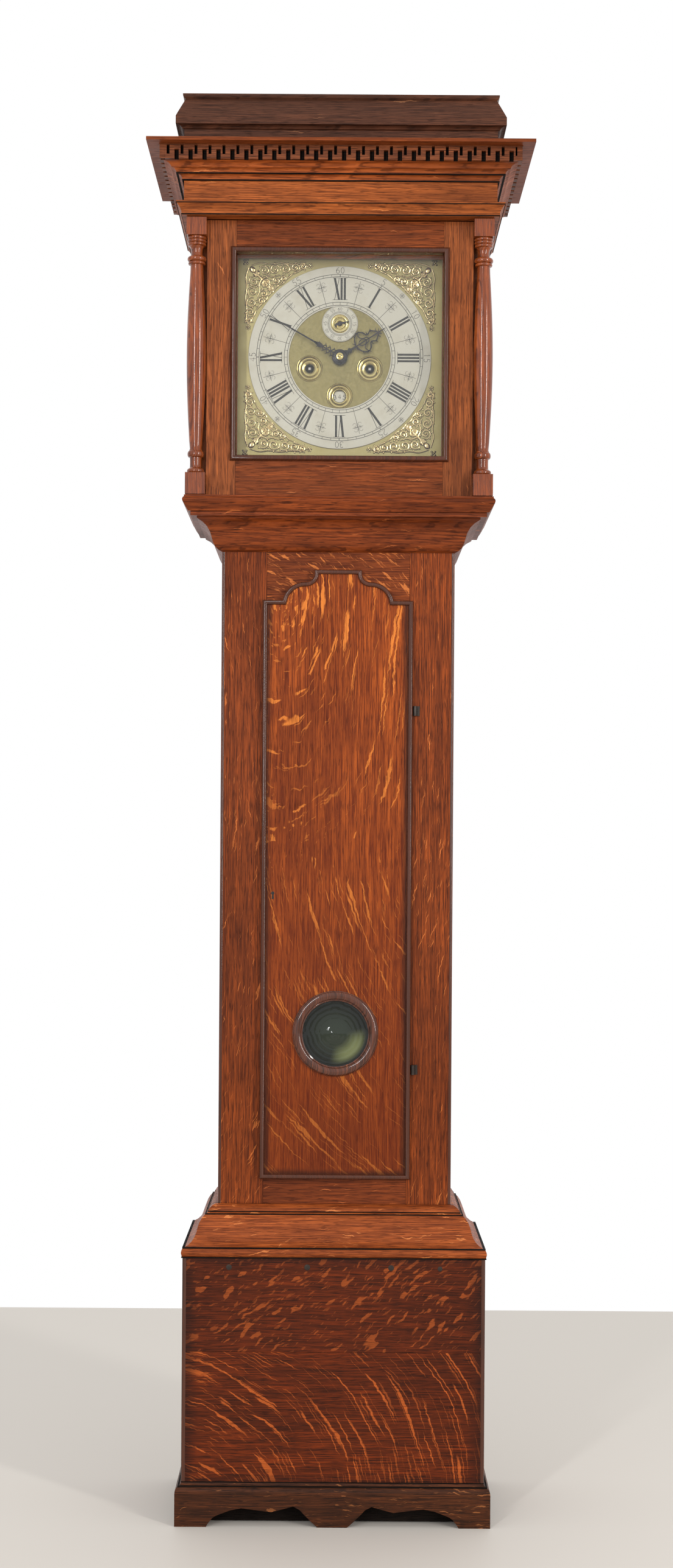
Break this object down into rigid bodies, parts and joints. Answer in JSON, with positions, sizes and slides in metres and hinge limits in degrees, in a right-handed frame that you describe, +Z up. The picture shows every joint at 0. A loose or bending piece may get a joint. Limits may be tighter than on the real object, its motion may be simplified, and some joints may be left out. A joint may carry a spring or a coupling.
{
  "type": "grandfather clock",
  "caption": "Oak longcase clock with a lift-off hood, glazed square brass dial, weight-driven striking movement and a pendulum behind a bullseye door.",
  "frame": {"origin": "on the floor, under the middle of the clock's box", "axes": "+X to the right of the dial, +Y to the back, +Z up"},
  "size_m": [0.548, 0.2854, 2.046],
  "materials": {
    "oak_case": "waxed quartersawn oak, red brown",
    "oak_door": "waxed quartersawn oak, golden red with ray flakes",
    "oak_dark": "dark waxed oak mouldings",
    "oak_back": "plain unfinished oak",
    "brass": "aged brass",
    "silvered": "silvered brass, engraved and waxed black",
    "blued_steel": "blued steel",
    "iron": "dark iron",
    "gut": "gut line",
    "clear_glass": "thin old window glass",
    "bullseye_glass": "thick green bullseye glass"
  },
  "bodies": {
    "case": {"plinth": "oak_dark", "base_front_lower_board": "oak_case", "base_front_upper_board": "oak_case", "base_side_right": "oak_case", "base_side_left": "oak_case", "shoulder_moulding": "oak_dark", "trunk_stile_right": "oak_case", "trunk_stile_left": "oak_case", "trunk_top_rail": "oak_case", "trunk_bottom_rail": "oak_case", "trunk_side_right": "oak_case", "trunk_side_left": "oak_case", "backboard": "oak_back", "throat_moulding": "oak_dark", "seatboard": "oak_back", "trunk_hinge_upper": "iron", "trunk_hinge_lower": "iron", "dial_plate": "brass", "chapter_ring": "silvered", "seconds_ring": "silvered", "spandrel_upper_right": "brass", "spandrel_upper_left": "brass", "spandrel_lower_right": "brass", "spandrel_lower_left": "brass", "movement_front_plate": "brass", "movement_back_plate": "brass", "bell": "brass", "going_line": "gut", "strike_line": "gut"},
    "hood": {"hood_base_moulding": "oak_case", "hood_frieze": "oak_case", "hood_cornice": "oak_dark", "hood_caddy": "oak_dark", "hood_side_right": "oak_case", "hood_side_left": "oak_case"},
    "hood_door": {"hood_door_stile_right": "oak_case", "hood_door_stile_left": "oak_case", "hood_door_bottom_rail": "oak_case", "hood_door_top_rail": "oak_case", "hood_door_glass": "clear_glass", "hood_column_right": "oak_case", "hood_column_left": "oak_case"},
    "trunk_door": {"trunk_door_board": "oak_door", "lenticle_ring": "oak_door", "lenticle_glass": "bullseye_glass"},
    "lock_bolt": {"trunk_door_lock_bolt": "iron"},
    "pendulum": {"pendulum_rod": "iron", "pendulum_bob": "brass"},
    "anchor": {"pallet_anchor": "blued_steel"},
    "escape_arbor": {"escape_wheel": "brass", "seconds_hand": "blued_steel"},
    "centre_arbor": {"centre_wheel": "brass"},
    "minute_arbor": {"minute_hand": "blued_steel"},
    "hour_pipe": {"hour_hand": "blued_steel"},
    "date_work": {"date_disc": "silvered"},
    "going_drum": {"going_barrel": "brass"},
    "strike_drum": {"strike_barrel": "brass"},
    "going_load": {"going_weight": "iron"},
    "strike_load": {"strike_weight": "iron"},
    "hammer": {"bell_hammer": "iron"}
  },
  "joints": [
    {"name": "hood_slide", "type": "slide", "parent": "case", "child": "hood", "axis": [0, -1, 0], "range_m": [0, 0.26]},
    {"name": "hood_door_swing", "type": "hinge", "parent": "hood", "child": "hood_door", "pos_m": [0.2115, -0.053, 1.673], "axis": [0, 0, 1], "range_deg": [0, 100]},
    {"name": "trunk_door_swing", "type": "hinge", "parent": "case", "child": "trunk_door", "pos_m": [0.1125, -0.042, 0.91], "axis": [0, 0, 1], "range_deg": [0, 110]},
    {"name": "lock_bolt_slide", "type": "slide", "parent": "trunk_door", "child": "lock_bolt", "axis": [-1, 0, 0], "range_m": [0, 0.005]},
    {"name": "pendulum_swing", "type": "hinge", "parent": "case", "child": "pendulum", "pos_m": [0, 0.095, 1.763], "axis": [0, 1, 0], "range_deg": [-3.5, 3.5]},
    {"name": "anchor_rock", "type": "hinge", "parent": "case", "child": "anchor", "pos_m": [0, 0.031, 1.763], "axis": [0, 1, 0], "range_deg": [-3.5, 3.5]},
    {"name": "escape_wheel_turn", "type": "hinge", "parent": "case", "child": "escape_arbor", "pos_m": [0, 0.031, 1.732], "axis": [0, 1, 0], "continuous": true},
    {"name": "centre_wheel_turn", "type": "hinge", "parent": "case", "child": "centre_arbor", "pos_m": [0, 0.06, 1.683], "axis": [0, 1, 0], "continuous": true},
    {"name": "minute_hand_turn", "type": "hinge", "parent": "case", "child": "minute_arbor", "pos_m": [0, -0.047, 1.683], "axis": [0, 1, 0], "continuous": true},
    {"name": "hour_hand_turn", "type": "hinge", "parent": "case", "child": "hour_pipe", "pos_m": [0, -0.043, 1.683], "axis": [0, 1, 0], "continuous": true},
    {"name": "date_disc_turn", "type": "hinge", "parent": "case", "child": "date_work", "pos_m": [0, -0.0343, 1.593], "axis": [0, 1, 0], "continuous": true},
    {"name": "going_weight_rise", "type": "slide", "parent": "case", "child": "going_load", "axis": [0, 0, 1], "range_m": [0, 1.1], "deforming": ["going_line"]},
    {"name": "strike_weight_rise", "type": "slide", "parent": "case", "child": "strike_load", "axis": [0, 0, 1], "range_m": [0, 1.1], "deforming": ["strike_line"]},
    {"name": "going_barrel_wind", "type": "hinge", "parent": "case", "child": "going_drum", "pos_m": [0.0437, 0.035, 1.6672], "axis": [0, 1, 0], "range_deg": [0, 5050]},
    {"name": "strike_barrel_wind", "type": "hinge", "parent": "case", "child": "strike_drum", "pos_m": [-0.0437, 0.035, 1.6672], "axis": [0, 1, 0], "range_deg": [-5050, 0]},
    {"name": "bell_hammer_lift", "type": "hinge", "parent": "case", "child": "hammer", "pos_m": [0.054, 0.036, 1.76], "axis": [0, 1, 0], "range_deg": [0, 20], "stiffness_Nm_per_rad": 0.2, "springref_deg": -17.19}
  ],
  "couplings": [
    {"joint": "anchor_rock", "follows": "pendulum_swing", "ratio": 1},
    {"joint": "centre_wheel_turn", "follows": "escape_wheel_turn", "ratio": 0.016667},
    {"joint": "hour_hand_turn", "follows": "minute_hand_turn", "ratio": 0.083333},
    {"joint": "date_disc_turn", "follows": "minute_hand_turn", "ratio": 0.0013441},
    {"joint": "going_barrel_wind", "follows": "going_weight_rise", "rad_per_m": 80},
    {"joint": "strike_barrel_wind", "follows": "strike_weight_rise", "rad_per_m": -80}
  ]
}
